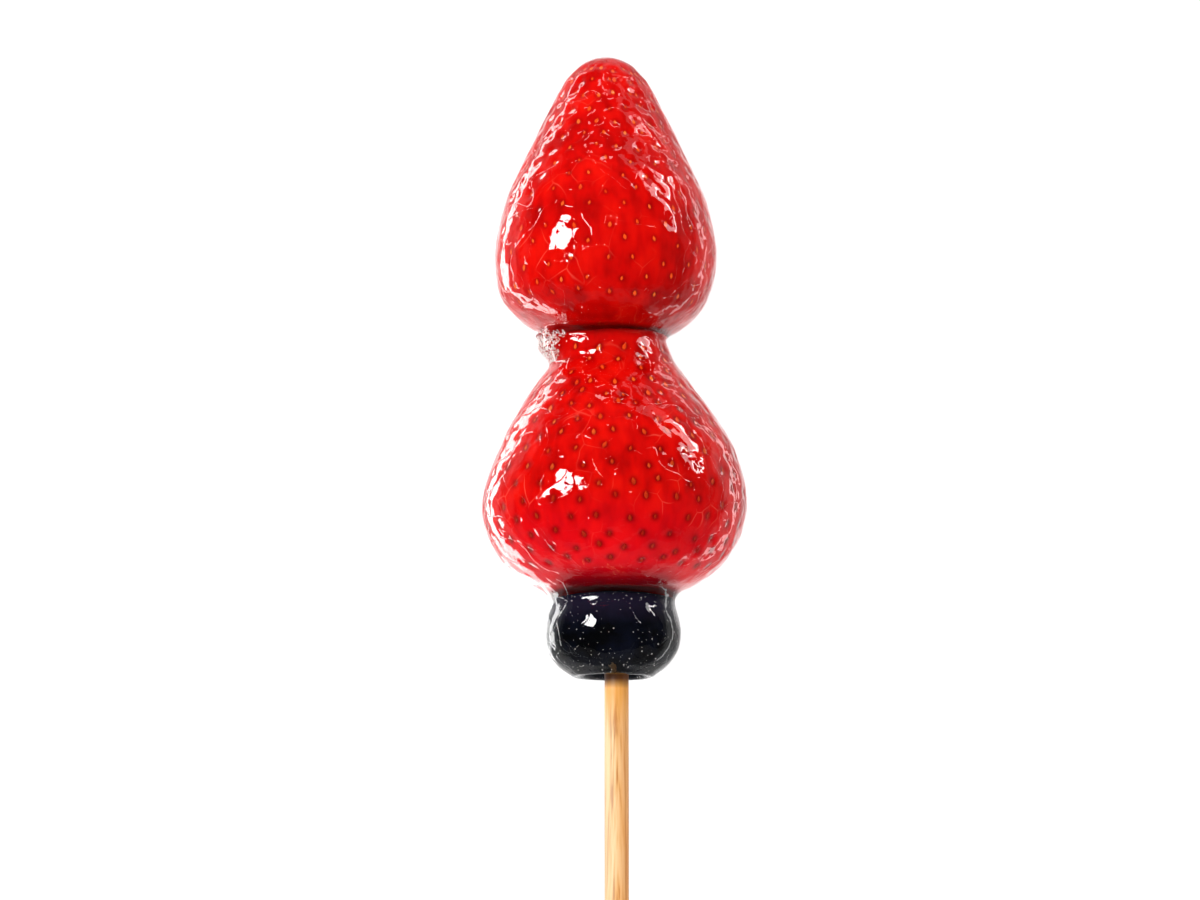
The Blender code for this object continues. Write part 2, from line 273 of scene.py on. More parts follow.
def smooth_curve(points, fineness=24):
    """Rows of a centripetal Catmull-Rom curve through the given rows, level where it meets the axis."""
    given = np.array(points, dtype=float)
    over_axis = np.array([1.0] + [-1.0] * (given.shape[1] - 1))
    given = np.vstack((given[1] * over_axis, given, given[-2] * over_axis))
    curve = []
    for p0, p1, p2, p3 in zip(given, given[1:], given[2:], given[3:]):
        t1 = math.sqrt(np.linalg.norm(p1 - p0))
        t2 = t1 + math.sqrt(np.linalg.norm(p2 - p1))
        t3 = t2 + math.sqrt(np.linalg.norm(p3 - p2))
        for t in np.linspace(t1, t2, fineness, endpoint=False):
            a1 = mixed(p0, p1, 0.0, t1, t)
            a2 = mixed(p1, p2, t1, t2, t)
            a3 = mixed(p2, p3, t2, t3, t)
            b1 = mixed(a1, a2, 0.0, t2, t)
            b2 = mixed(a2, a3, t1, t3, t)
            curve.append(mixed(b1, b2, t1, t2, t))
    curve.append(given[-2])
    return np.array(curve)


def stations(curve, count):
    """The curve's rows at a number of even steps along it."""
    steps = np.linalg.norm(np.diff(curve, axis=0), axis=1)
    run = np.concatenate(([0.0], np.cumsum(steps)))
    at = np.linspace(0.0, run[-1], count + 1)
    return np.array([np.interp(at, run, column) for column in curve.T]).T


def length_of(curve):
    """The curve's length, in its own rows' metric."""
    return float(np.linalg.norm(np.diff(curve, axis=0), axis=1).sum())


def ease(low, high, value):
    """A smooth step from 0 at low to 1 at high."""
    share = np.clip((value - low) / (high - low), 0.0, 1.0)
    return share * share * (3 - 2 * share)


def turned(rows, columns, wobble, depth):
    """Points of a surface turned about Z from (height, left, right) rows, as rows by columns by 3."""
    angles = angles_of(columns)
    radius = ((rows[:, 1] + rows[:, 2]) / 2)[:, None] * wobble(rows[:, 0][:, None], angles[None, :])
    centre = ((rows[:, 2] - rows[:, 1]) / 2)[:, None]
    points = np.empty((len(rows), columns, 3))
    points[..., 0] = radius * np.cos(angles) + centre
    points[..., 1] = radius * np.sin(angles) * depth(rows[:, 0])[:, None]
    points[..., 2] = rows[:, 0][:, None]
    return points


def angles_of(columns):
    """The angle of each column round the stick."""
    return np.arange(columns) / columns * math.tau


def round_wobble(height, angle):
    """A round piece's radius doesn't change with the angle."""
    return 1 + 0 * height * angle


def round_depth(height):
    """A round piece is as deep as it is wide."""
    return 1 + 0 * height


def normals_of(points):
    """Outward normals of a grid of points that runs from a tip down."""
    down = np.gradient(points, axis=0)
    around = np.roll(points, -1, axis=1) - np.roll(points, 1, axis=1)
    normal = np.cross(around, -down)
    size = np.linalg.norm(normal, axis=2, keepdims=True)
    normal = normal / np.maximum(size, 1e-12)
    normal[0] = (0.0, 0.0, 1.0)
    normal[-1] = normal[-2].mean(axis=0) / max(np.linalg.norm(normal[-2].mean(axis=0)), 1e-9)
    return normal


def fractal(points, wavelength, seed):
    """Smooth noise from about -1 to 1 at each point."""
    offset = Vector((seed * 17.3, seed * 5.1, seed * 9.7))
    flat = points.reshape(-1, 3) / wavelength
    values = [noise.noise(Vector(point) + offset) for point in flat]
    return np.array(values).reshape(points.shape[:-1])


class Place:
    """The upright frame's place in the model, from the stick of the CAD."""

    def __init__(self):
        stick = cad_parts["skewer"].data
        points = np.array([vertex.co for vertex in stick.vertices])
        middle = points.mean(axis=0)
        along = np.linalg.svd(points - middle)[2][0]
        along = along if along[1] > 0 else -along
        self.origin = middle + along * ((points - middle) @ along).min()
        across = np.array([1.0, 0.0, 0.0])
        inward = np.cross(along, across)
        self.axes = np.array([across, inward, along])

    def points(self, points):
        """Upright millimetres as the frame's metres."""
        return self.origin + (points * MM) @ self.axes

    def direction(self, right, up, toward):
        """A direction of the photo, as one in the frame."""
        upright = np.array([right, 0.0, 0.0])
        upright = upright + up * np.array([0.0, -math.sin(PITCH), math.cos(PITCH)])
        upright = upright + toward * np.array([0.0, -math.cos(PITCH), -math.sin(PITCH)])
        return upright @ self.axes


place = Place()


def piece(name, vertices, faces, material, replaced=()):
    """A smooth mesh piece of the object, in the frame's metres."""
    mesh = bpy.data.meshes.new(name)
    mesh.from_pydata(vertices.tolist(), [], faces)
    mesh.update()
    mesh.shade_smooth()
    mesh.materials.append(material)
    made = bpy.data.objects.new(name, mesh)
    bpy.context.scene.collection.objects.link(made)
    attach(made, "root")
    if replaced:
        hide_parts(*replaced)
    return made


def ring_faces(rings, columns):
    """Faces between rings of points, and to the two end points that follow them."""
    faces = []
    for ring in range(rings - 1):
        for column in range(columns):
            after = (column + 1) % columns
            here, below = ring * columns, (ring + 1) * columns
            faces.append((here + column, below + column, below + after, here + after))
    first, last, bottom = rings * columns, rings * columns + 1, (rings - 1) * columns
    for column in range(columns):
        after = (column + 1) % columns
        faces.append((first, column, after))
        faces.append((last, bottom + after, bottom + column))
    return faces


def grid_mesh(points):
    """Vertices and faces of a grid that closes round and ends in one point at each end."""
    rows, columns = points.shape[:2]
    inner = points[1:-1].reshape(-1, 3)
    vertices = np.vstack((inner, points[0].mean(axis=0), points[-1].mean(axis=0)))
    return vertices, ring_faces(rows - 2, columns)


def joined(copies, faces):
    """Vertices and faces of one mesh made of moved copies of a small one."""
    count = len(copies[0])
    all_faces = []
    for number in range(len(copies)):
        all_faces += [tuple(number * count + index for index in face) for face in faces]
    return np.vstack(copies), all_faces


def above_floor(vertices, clearance):
    """The same vertices, none lower than the given millimetres over the floor."""
    vertices = vertices.copy()
    vertices[:, 2] = np.maximum(vertices[:, 2], clearance * MM)
    return vertices


def dented(points, normals, spots, across, depth):
    """Points pressed in round each spot, less with distance, the nearest spot counting most."""
    flat = points.reshape(-1, 3)
    amount = np.zeros(len(flat))
    for spot in spots:
        near = np.abs(flat[:, 2] - spot[2]) < 2.5 * across
        away = ((flat[near] - spot) ** 2).sum(axis=1) / across ** 2
        amount[near] = np.maximum(amount[near], np.exp(-away))
    amount = amount.reshape(points.shape[:2])
    return points - normals * (depth * amount)[..., None], amount


def moved_rows(rows, berry):
    """A berry's outline rows at its place on the stick."""
    return np.array(rows) + np.array([berry.base, -berry.shift, berry.shift])


def seed_places(berry, steps, rows, surface, normals, draw):
    """A berry's seeds in staggered rows: spot on the surface, side, up, outward and size of each."""
    rim = int(np.argmin(rows[:, 0]))
    lowest, highest = berry.seed_heights
    found = []
    for row in range(steps):
        at = row * FINER
        spacing = math.tau * (rows[at, 1] + rows[at, 2]) / 2 / berry.columns
        height = rows[at, 0] - berry.base
        if not lowest < height < highest or at >= rim or spacing < LEAST_SEED_SPACING:
            continue
        for column in range(berry.columns):
            if (row + column) % 2 == 0:
                continue
            if spacing < berry.crowded and (column // 2 + row // 2) % 2:
                continue
            normal = normals[at, column * FINER]
            up = surface[at - 1, column * FINER] - surface[at + 1, column * FINER]
            up = up / np.linalg.norm(up)
            side = np.cross(up, normal)
            turn = draw.uniform(-SEED_TURN, SEED_TURN)
            up, side = (up * math.cos(turn) + side * math.sin(turn),
                        side * math.cos(turn) - up * math.sin(turn))
            aside = draw.uniform(-SEED_ASIDE, SEED_ASIDE)
            along = draw.uniform(-SEED_ALONG, SEED_ALONG)
            spot = surface[at, column * FINER] + side * aside + up * along
            found.append((spot, side, up, normal, draw.uniform(*berry.seed_sizes)))
    return found


def strawberry(berry, draw):
    """A berry's flesh and its seeds; returns where its seeds are on the sugar's surface."""
    curve = smooth_curve(berry.flesh)
    steps = round(length_of(curve) / ROW_SPACING)
    rows = moved_rows(stations(curve, steps * FINER), berry)

    def wobble(height, angle):
        return 1 + OVAL * np.sin(2 * angle) + THREE_SIDED * np.sin(3 * angle + berry.base) + 0 * height

    surface = turned(rows, berry.columns * FINER, wobble, lambda height: berry.depth + 0 * height)
    normals = normals_of(surface)
    placed = seed_places(berry, steps, rows, surface, normals, draw)
    spots = np.array([seed[0] for seed in placed])
    outward = np.array([seed[3] for seed in placed])
    lumps = fractal(surface, FLESH_LUMP_SIZE, berry.base) * FLESH_LUMPS
    flesh = surface - normals * (GLAZE_DEPTH + FLESH_GAP - lumps)[..., None]
    flesh, pits = dented(flesh, normals, spots - outward * GLAZE_DEPTH, berry.pit, 0.5 * berry.pit)
    # Painted shade, kept as a point attribute: in the pits round the seeds, along the middle of the base
    # rim, where the lower berry also gets a painted dark reflection of the blueberry, and up the lower
    # berry's neck.
    over = flesh[..., 2] - berry.base
    middle = 1 - ease(*RIM_MIDDLE, np.abs(flesh[..., 0]))
    painted_rim_shade = berry.painted_rim_shade * (1 - ease(*RIM_HEIGHTS, over)) * middle
    painted_shade = np.maximum(berry.painted_pit_shade * pits, painted_rim_shade)
    painted_shade = np.maximum(painted_shade, berry.painted_neck_shade * ease(*NECK_HEIGHTS, over))
    vertices, faces = grid_mesh(flesh)
    vertices = above_floor(place.points(vertices), FLESH_CLEARANCE)
    made = piece(f"flesh_{berry.name}", vertices, faces, FLESH,
                 (f"strawberry_{berry.name}",))
    tone = made.data.attributes.new("painted_shade", "FLOAT", "POINT")
    tone.data.foreach_set("value", np.append(painted_shade[1:-1].ravel(), (painted_shade[0, 0], painted_shade[-1, 0])))
    seeds(f"seeds_{berry.name}", placed)
    return spots


def seeds(name, placed):
    """All of a berry's seeds as one mesh of teardrops."""
    around, along = 10, 7
    template = []
    for step in range(1, along):
        share = step / along
        wide = math.sin(math.pi * share) ** 0.85 * (1.12 - 0.35 * share)
        for turn in range(around):
            angle = turn / around * math.tau
            template.append((SEED_WIDTH * wide * math.cos(angle), SEED_LENGTH * (2 * share - 1),
                             SEED_THICKNESS * wide * math.sin(angle)))
    template += [(0.0, -SEED_LENGTH, 0.0), (0.0, SEED_TIP, 0.0)]
    template = np.array(template)
    copies = []
    for spot, side, up, normal, size in placed:
        centre = spot - normal * (GLAZE_DEPTH + SEED_SUNK)
        copy = place.points(centre + (template * size) @ np.array([side, up, normal]))
        if copy[:, 2].min() >= SEED_CLEARANCE * MM:
            copies.append(copy)
    vertices, faces = joined(copies, ring_faces(along - 1, around))
    piece(name, vertices, faces, SEED)


def web_share(height):
    """How much of its full thickness the sugar web has on the left of the upper neck."""
    return ease(118.4, 121.6, height) * (1 - ease(122.3, 123.3, height))


def glaze_rows():
    """The shell's rows from the upper tip to the crown's crater, as turned() takes them."""
    given = np.vstack((moved_rows(UPPER_OUTLINE[:-1], UPPER), UPPER_NECK,
                       moved_rows(LOWER_OUTLINE[:-1], LOWER), LOWER_NECK))
    places = np.arange(len(given))
    centre = (given[:, 2] - given[:, 1]) / 2
    radius = (given[:, 1] + given[:, 2]) / 2
    curve = smooth_curve(np.array([given[:, 0], radius]).T)
    order = smooth_curve(np.array([places, np.zeros(len(places))]).T)[:, 0]
    centre = np.interp(order, places, centre)
    curve = np.array([curve[:, 0], curve[:, 1] - centre, curve[:, 1] + centre]).T
    return stations(curve, round(length_of(curve[:, :2]) / GLAZE_SPACING))


def glaze_wobble(height, angle):
    """The shell's radius has each berry's wobble at that berry and none at the blueberry."""
    upper_share = ease(122.5, 126.0, height)
    lower_share = ease(89.5, 93.0, height) * (1 - ease(117.0, 121.0, height))
    phase = np.where(height > 120.0, UPPER.base, LOWER.base)
    share = upper_share + lower_share
    return 1 + share * (OVAL * np.sin(2 * angle) + THREE_SIDED * np.sin(3 * angle + phase))


def glaze_depth(height):
    """The shell's depth for its width: each berry's own, and round at the blueberry."""
    deep = LOWER.depth + (UPPER.depth - LOWER.depth) * ease(119.0, 123.0, height)
    return 1.0 + (deep - 1.0) * ease(88.0, 92.0, height)


def glaze(upper_spots, lower_spots):
    """The sugar's outer surface round all three fruits, as one closed shell."""
    rows = glaze_rows()
    height = rows[:, 0]
    surface = turned(rows, GLAZE_COLUMNS, glaze_wobble, glaze_depth)
    angles = angles_of(GLAZE_COLUMNS)
    left = (0.5 - 0.5 * np.cos(angles)) ** WEB_SHARPNESS
    push = (WEB_THICKNESS * web_share(height))[:, None] * left[None, :]
    surface[..., 0] += push * np.cos(angles)
    surface[..., 1] += push * np.sin(angles)
    normals = normals_of(surface)
    off_axis = np.hypot(surface[..., 0], surface[..., 1])
    uneven = np.maximum(ease(*CALM_CRATER, off_axis), height[:, None] > CALM_BELOW)
    waves = sum(fractal(surface, size, seed) * tall for size, tall, seed in GLAZE_WAVES)
    ridged = ease(91.5, 93.5, height) * (1 - ease(97.0, 101.0, height))
    stretched = surface * np.array([1.0, 1.0, RIDGE_STRETCH])
    ridges = fractal(stretched, RIDGE_SIZE, RIDGE_SEED) * RIDGE_HEIGHT * ridged[:, None]
    surface = surface + normals * ((waves + ridges - GLAZE_LOWERED) * uneven)[..., None]
    for right, up, wide, tall, out in HIGHLIGHT_PATCHES:
        near = np.exp(-((surface[..., 0] - right) / wide) ** 2 - ((surface[..., 2] - up) / tall) ** 2)
        surface = surface + normals * (out * near * (surface[..., 1] < 0))[..., None]
    at_tip = upper_spots[:, 2] > TIP_ABOVE
    for spots, dent in ((lower_spots, LOWER_DENT), (upper_spots[~at_tip], UPPER_DENT),
                        (upper_spots[at_tip], TIP_DENT)):
        surface, _ = dented(surface, normals, spots, *dent)
    vertices, faces = grid_mesh(surface)
    vertices = above_floor(place.points(vertices), 0.0)
    piece("sugar_glaze", vertices, faces, SUGAR, ("sugar_neck",))


def blueberry():
    """The blueberry's skin with its crater and five-lobed crown."""
    curve = smooth_curve(BLUEBERRY_OUTLINE)
    rows = stations(curve, round(length_of(curve[:, :2]) / BLUEBERRY_SPACING))
    rows = rows + np.array([0.0, -BLUEBERRY_SHIFT, BLUEBERRY_SHIFT])
    surface = turned(rows, BLUEBERRY_COLUMNS, round_wobble, round_depth)
    radius = np.hypot(surface[..., 0] - BLUEBERRY_SHIFT, surface[..., 1])
    low = (1 - ease(*CROWN_HEIGHTS, surface[..., 2])) * ease(*CROWN_RADII, radius)
    lobes = (0.5 - 0.5 * np.cos(5 * angles_of(BLUEBERRY_COLUMNS)))[None, :] ** 1.5
    surface[..., 2] += CROWN_DEPTH * low * lobes
    lumps = fractal(surface, SKIN_LUMP_SIZE, SKIN_LUMP_SEED) * SKIN_LUMPS
    surface = surface + normals_of(surface) * lumps[..., None]
    vertices, faces = grid_mesh(surface)
    piece("blueberry_skin", place.points(vertices), faces, SKIN, ("blueberry",))


def stick():
    """The bamboo stick with fine flutes along its fibres."""
    heights = np.linspace(0.0, STICK_LENGTH, STICK_ROWS + 1)
    taper = (STICK_LENGTH - heights) / STICK_POINT
    radius = np.minimum(STICK_RADIUS, STICK_POINT_RADIUS + taper * (STICK_RADIUS - STICK_POINT_RADIUS))
    radius = np.where(heights < STICK_CHAMFER, STICK_RADIUS - STICK_CHAMFER, radius)
    rows = np.array([heights, radius, radius]).T[::-1]
    rows = np.vstack(((STICK_LENGTH, 0.0, 0.0), rows, (0.0, 0.0, 0.0)))
    surface = turned(rows, STICK_COLUMNS, round_wobble, round_depth)
    stretched = surface * np.array([1.0, 1.0, STICK_FLUTE_STRETCH])
    flutes = fractal(stretched, STICK_FLUTE_SIZE, STICK_FLUTE_SEED) * STICK_FLUTE_DEPTH
    below_point = surface[..., 2] < STICK_LENGTH - STICK_POINT
    factor = 1 - (STICK_SHAVED + np.abs(flutes)) * below_point / STICK_RADIUS
    surface[..., 0] *= factor
    surface[..., 1] *= factor
    vertices, faces = grid_mesh(surface)
    piece("bamboo_stick", place.points(vertices), faces, BAMBOO, ("skewer",))


def bubbles(draw):
    """Tiny bubbles in the sugar over the blueberry and in the web, as one mesh."""
    rings, columns = 4, 8
    ball = []
    for ring in range(1, rings + 1):
        polar = math.pi * ring / (rings + 1)
        for column in range(columns):
            angle = math.tau * column / columns
            ball.append((math.sin(polar) * math.cos(angle), math.sin(polar) * math.sin(angle),
                         math.cos(polar)))
    ball = np.array(ball + [(0.0, 0.0, 1.0), (0.0, 0.0, -1.0)])
    side = stations(smooth_curve(BLUEBERRY_OUTLINE), SIDE_STEPS)
    copies = []
    least, more = BERRY_BUBBLE_RADII
    for _ in range(BERRY_BUBBLES):
        row = side[int(draw.uniform(*BUBBLED_SIDE) * SIDE_STEPS)]
        angle = draw.uniform(0.0, math.tau)
        size = least + more * draw.random() ** 4
        out = row[1] + BERRY_BUBBLES_OUT + size
        centre = np.array([out * math.cos(angle) + BLUEBERRY_SHIFT, out * math.sin(angle), row[0]])
        copies.append(place.points(centre + ball * size))
    reach = np.array(UPPER_NECK)[::-1]
    low, high = WEB_BUBBLE_HEIGHTS
    least, more = WEB_BUBBLE_RADII
    for _ in range(WEB_BUBBLES):
        size = least + more * draw.random() ** 2
        height = draw.uniform(low, high)
        angle = draw.uniform(*WEB_BUBBLE_ANGLES) * (0.35 + 0.35 * (height - low) / (high - low))
        web = WEB_THICKNESS * float(web_share(height)) * (0.5 + 0.5 * math.cos(angle)) ** WEB_SHARPNESS
        out = float(np.interp(height, reach[:, 0], reach[:, 1])) + web - draw.uniform(*WEB_BUBBLE_DEPTHS)
        centre = np.array([-out * math.cos(angle), -out * math.sin(angle), height])
        copies.append(place.points(centre + ball * size))
    vertices, faces = joined(copies, ring_faces(rings, columns))
    piece("sugar_bubbles", vertices, faces, BUBBLE)


def new_material(name):
    """A node material; returns it with its tree, its Principled shader and its output."""
    made = bpy.data.materials.new(name)
    made.use_nodes = True
    tree = made.node_tree
    return made, tree, tree.nodes["Principled BSDF"], tree.nodes["Material Output"]


def put(tree, socket, value):
    """Links a socket to an input or sets the input's value."""
    if isinstance(value, bpy.types.NodeSocket):
        tree.links.new(value, socket)
    else:
        socket.default_value = value


def fill(tree, node, **inputs):
    """Sets a node's inputs by name; an input's name has _ for each space."""
    for name, value in inputs.items():
        put(tree, node.inputs[name.replace("_", " ")], value)


def add(tree, kind, settings=None, **inputs):
    """A node with its settings and inputs."""
    made = tree.nodes.new(kind)
    for name, value in (settings or {}).items():
        setattr(made, name, value)
    fill(tree, made, **inputs)
    return made


def maths(tree, operation, one, two=0.0):
    """The result of an operation on one or two values."""
    made = add(tree, "ShaderNodeMath", {"operation": operation})
    put(tree, made.inputs[0], one)
    put(tree, made.inputs[1], two)
    return made.outputs[0]


# A Mix node's sockets for each kind of value: the first input, the second and the result.
MIX_SOCKETS = {"FLOAT": (2, 3, 0), "VECTOR": (4, 5, 1), "RGBA": (6, 7, 2)}


def mix(tree, kind, share, one, two):
    """A mix of two values, vectors or colours, all of the second at a share of 1."""
    first, second, result = MIX_SOCKETS[kind]
    made = add(tree, "ShaderNodeMix", {"data_type": kind})
    put(tree, made.inputs[0], share)
    put(tree, made.inputs[first], one)
    put(tree, made.inputs[second], two)
    return made.outputs[result]


def tinted(tree, share, colour, tint):
    """A colour with a share of a plain tint."""
    return mix(tree, "RGBA", share, colour, (*tint, 1.0))


def where(tree, stretch=(1.0, 1.0, 1.0)):
    """Object coordinates, stretched."""
    source = add(tree, "ShaderNodeTexCoord").outputs["Object"]
    mapped = add(tree, "ShaderNodeMapping", Vector=source, Scale=stretch)
    return mapped.outputs["Vector"]


def axis_of(tree, vector, axis):
    """One coordinate of a vector."""
    return add(tree, "ShaderNodeSeparateXYZ", Vector=vector).outputs[axis]


def clouds(tree, vector, wavelength, detail=2.0):
    """Noise from 0 to 1 of about the given wavelength in millimetres."""
    made = add(tree, "ShaderNodeTexNoise", Vector=vector, Scale=1000.0 / wavelength, Detail=detail)
    return made.outputs["Fac"]


def bent(tree, vector, scale, detail, share):
    """Coordinates bent a little by noise."""
    warp = add(tree, "ShaderNodeTexNoise", Vector=vector, Scale=scale, Detail=detail).outputs["Color"]
    return mix(tree, "VECTOR", share, vector, warp)


def cells(tree, vector, feature, scale):
    """Distances in a pattern of cells: to their edges, or to their middles."""
    made = add(tree, "ShaderNodeTexVoronoi", {"feature": feature}, Vector=vector, Scale=scale)
    return made.outputs["Distance"]


def ramp(tree, factor, *stops):
    """Colours by a factor; each stop is its place and colour."""
    made = add(tree, "ShaderNodeValToRGB", Fac=factor)
    elements = made.color_ramp.elements
    while len(elements) < len(stops):
        elements.new(0.5)
    for element, (at, colour) in zip(elements, stops):
        element.position = at
        element.color = (*colour, 1.0)
    return made.outputs["Color"]


def span(tree, value, low, high, to_low=0.0, to_high=1.0):
    """A value brought from one range to another and kept inside it."""
    made = add(tree, "ShaderNodeMapRange", {"clamp": True}, Value=value, From_Min=low, From_Max=high,
               To_Min=to_low, To_Max=to_high)
    return made.outputs["Result"]


def bump(tree, height, millimetres, under=None, strength=1.0):
    """A bump of the given depth, over another."""
    made = add(tree, "ShaderNodeBump", Height=height, Distance=millimetres * MM, Strength=strength)
    if under is not None:
        put(tree, made.inputs["Normal"], under)
    return made.outputs["Normal"]


def sugar_bumps(tree):
    """Soft waves, pits over the berries and hairline cracks, as one normal."""
    spot = where(tree)
    along = axis_of(tree, spot, "Y")
    warped = bent(tree, spot, 160.0, 1.0, 0.012)
    crack = span(tree, cells(tree, warped, "DISTANCE_TO_EDGE", 170.0), 0.0, 0.02)
    pits = span(tree, cells(tree, warped, "F1", 420.0), 0.03, 0.17)
    in_patches = span(tree, clouds(tree, spot, 7.0, 1.0), 0.36, 0.54)
    shown = maths(tree, "MULTIPLY", span(tree, along, *SUGAR_PITS_COME), in_patches)
    strength = span(tree, along, *SUGAR_WAVES_COME, 0.35, 1.0)
    soft = bump(tree, clouds(tree, spot, 1.7, 1.0), 0.15, strength=strength)
    pitted = bump(tree, maths(tree, "MULTIPLY", pits, shown), 0.14, soft)
    return bump(tree, crack, 0.02, pitted)


def sugar_look():
    """Clear set sugar that lets lamps through to the fruit."""
    made, tree, shader, output = new_material("clear_sugar")
    fill(tree, shader, Base_Color=(1.0, 0.985, 0.97, 1.0), Roughness=0.03, IOR=1.53,
         Transmission_Weight=1.0, Normal=sugar_bumps(tree))
    path = add(tree, "ShaderNodeLightPath")
    clear = add(tree, "ShaderNodeBsdfTransparent").outputs["BSDF"]
    seen = shader.outputs["BSDF"]
    for ray in ("Is Diffuse Ray", "Is Shadow Ray"):
        either = add(tree, "ShaderNodeMixShader", Fac=path.outputs[ray])
        tree.links.new(seen, either.inputs[1])
        tree.links.new(clear, either.inputs[2])
        seen = either.outputs["Shader"]
    tree.links.new(seen, output.inputs["Surface"])
    return made


def painted_glint_lines(tree, spot):
    """Where hair-thin pale lines of painted glint show, standing in for glints off the sugar's ripples:
    in patches, and less along the middle.
    """
    warped = bent(tree, spot, 250.0, 2.0, 0.0012)
    thin = span(tree, cells(tree, warped, "DISTANCE_TO_EDGE", 300.0), 0.0, 0.022, 1.0, 0.0)
    in_patches = span(tree, clouds(tree, spot, 5.0, 1.0), 0.52, 0.64, 0.0, 0.7)
    aside = span(tree, maths(tree, "ABSOLUTE", axis_of(tree, spot, "X")), 0.002, 0.008, 0.35, 1.0)
    return maths(tree, "MULTIPLY", thin, maths(tree, "MULTIPLY", in_patches, aside))


def flesh_look():
    """Deep red with lighter clouds and streaks, painted pale glint lines, painted pink light low down,
    and painted shade in the pits, at the base rim and at the neck.
    """
    made, tree, shader, _ = new_material("strawberry_flesh")
    spot = where(tree)
    streaks = clouds(tree, where(tree, (1.0, 0.3, 1.0)), 1.5, 2.0)
    tone = mix(tree, "FLOAT", 0.5, clouds(tree, spot, 5.0, 3.0), streaks)
    colour = ramp(tree, tone, (0.36, (0.42, 0.0014, 0.0010)), (0.5, (0.60, 0.0021, 0.0012)),
                  (0.64, (0.71, 0.0048, 0.0014)))
    # Painted glints: pale hairlines that stand in for glints off the sugar's fine ripples.
    colour = tinted(tree, painted_glint_lines(tree, spot), colour, (0.80, 0.10, 0.07))
    # Painted pink light from below, toward the lower berry's base.
    low = span(tree, axis_of(tree, spot, "Y"), *PAINTED_LOW_LIGHT_FADES, 0.75, 0.0)
    colour = tinted(tree, low, colour, (0.80, 0.0022, 0.015))
    # Painted shade from the point attribute darkens the flesh to near black.
    painted_shade = add(tree, "ShaderNodeAttribute", {"attribute_name": "painted_shade"}).outputs["Fac"]
    colour = tinted(tree, painted_shade, colour, (0.02, 0.0003, 0.0004))
    fill(tree, shader, Base_Color=colour, Roughness=0.4, Specular_IOR_Level=0.0, Subsurface_Weight=0.8,
         Subsurface_Radius=(1.0, 0.12, 0.06), Subsurface_Scale=0.003,
         Normal=bump(tree, clouds(tree, spot, 0.7, 3.0), 0.04))
    return made


def seed_look():
    """Orange seeds, brown low on the lower berry."""
    made, tree, shader, _ = new_material("strawberry_seeds")
    spot = where(tree)
    colour = ramp(tree, clouds(tree, spot, 3.5, 1.0), (0.3, (0.70, 0.035, 0.004)),
                  (0.5, (0.86, 0.08, 0.010)), (0.7, (0.93, 0.16, 0.025)))
    low = span(tree, axis_of(tree, spot, "Y"), *BROWN_SEEDS_FADE, 0.9, 0.0)
    colour = tinted(tree, low, colour, (0.32, 0.006, 0.003))
    fill(tree, shader, Base_Color=colour, Roughness=0.5, Specular_IOR_Level=0.0)
    return made


def skin_look():
    """Blue-black skin with a faint uneven bloom, and a painted purplish reflection of the strawberry at
    the top.
    """
    made, tree, shader, _ = new_material("blueberry_skin")
    spot = where(tree)
    colour = ramp(tree, clouds(tree, spot, 2.5, 4.0), (0.4, (0.0004, 0.0006, 0.001)),
                  (0.66, (0.002, 0.003, 0.008)))
    # A painted purplish reflection of the strawberry above, on the blueberry's top.
    high = span(tree, axis_of(tree, spot, "Y"), *PAINTED_PURPLE_REFLECTION_COMES, 0.0, 0.8)
    colour = tinted(tree, high, colour, (0.013, 0.010, 0.026))
    fill(tree, shader, Base_Color=colour, Roughness=0.5, Specular_IOR_Level=0.0)
    return made


def bamboo_look():
    """Pale bamboo with long fibres, paler with painted light on the left, warmer and darker with painted
    shade on the right, wet amber near the fruit and painted shade where it goes into the blueberry's
    crater.
    """
    made, tree, shader, _ = new_material("bamboo")
    tone = clouds(tree, where(tree, (1.0, 0.005, 1.0)), 0.36, 3.0)
    colour = ramp(tree, tone, (0.36, (0.48, 0.17, 0.04)), (0.46, (0.78, 0.43, 0.155)),
                  (0.60, (0.90, 0.63, 0.33)))
    spot = where(tree)
    along = axis_of(tree, spot, "Y")
    # Painted light pales the stick's left side and painted shade warms and darkens its right; near the
    # fruit it turns wet amber, and painted shade darkens it where it goes into the blueberry's crater.
    right = span(tree, axis_of(tree, spot, "X"), -0.0009, 0.0009, -1.0, 1.0)
    for share, tint in ((span(tree, right, -1.0, 0.1, 0.6, 0.0), (0.90, 0.66, 0.41)),
                        (span(tree, right, -0.2, 1.0, 0.0, 0.6), (0.78, 0.33, 0.09)),
                        (span(tree, along, *WET_STICK_COMES, 0.0, 0.75), (0.86, 0.36, 0.05)),
                        (span(tree, along, *PAINTED_CRATER_SHADE_COMES, 0.0, 0.95), (0.10, 0.025, 0.005))):
        colour = tinted(tree, share, colour, tint)
    fill(tree, shader, Base_Color=colour, Roughness=0.5, Normal=bump(tree, tone, 0.05))
    return made


def bubble_look():
    """Whitish glints of tiny bubbles."""
    made, tree, shader, _ = new_material("sugar_bubbles")
    colour = ramp(tree, clouds(tree, where(tree), 1.0), (0.3, (0.84, 0.80, 0.77)),
                  (0.7, (0.96, 0.93, 0.90)))
    fill(tree, shader, Base_Color=colour, Roughness=0.3)
    return made


def area_light(name, position, facing, size, radiance, mirrored=True):
    """A panel of the given size and brightness, unseen by the camera."""
    lamp = bpy.data.lights.new(name, "AREA")
    lamp.shape = "RECTANGLE"
    lamp.size, lamp.size_y = size
    lamp.energy = radiance * math.pi * size[0] * size[1]
    made = bpy.data.objects.new(name, lamp)
    bpy.context.scene.collection.objects.link(made)
    made.location = position
    made.rotation_euler = Vector(facing).to_track_quat("-Z", "Y").to_euler()
    made.visible_camera = False
    made.visible_glossy = mirrored


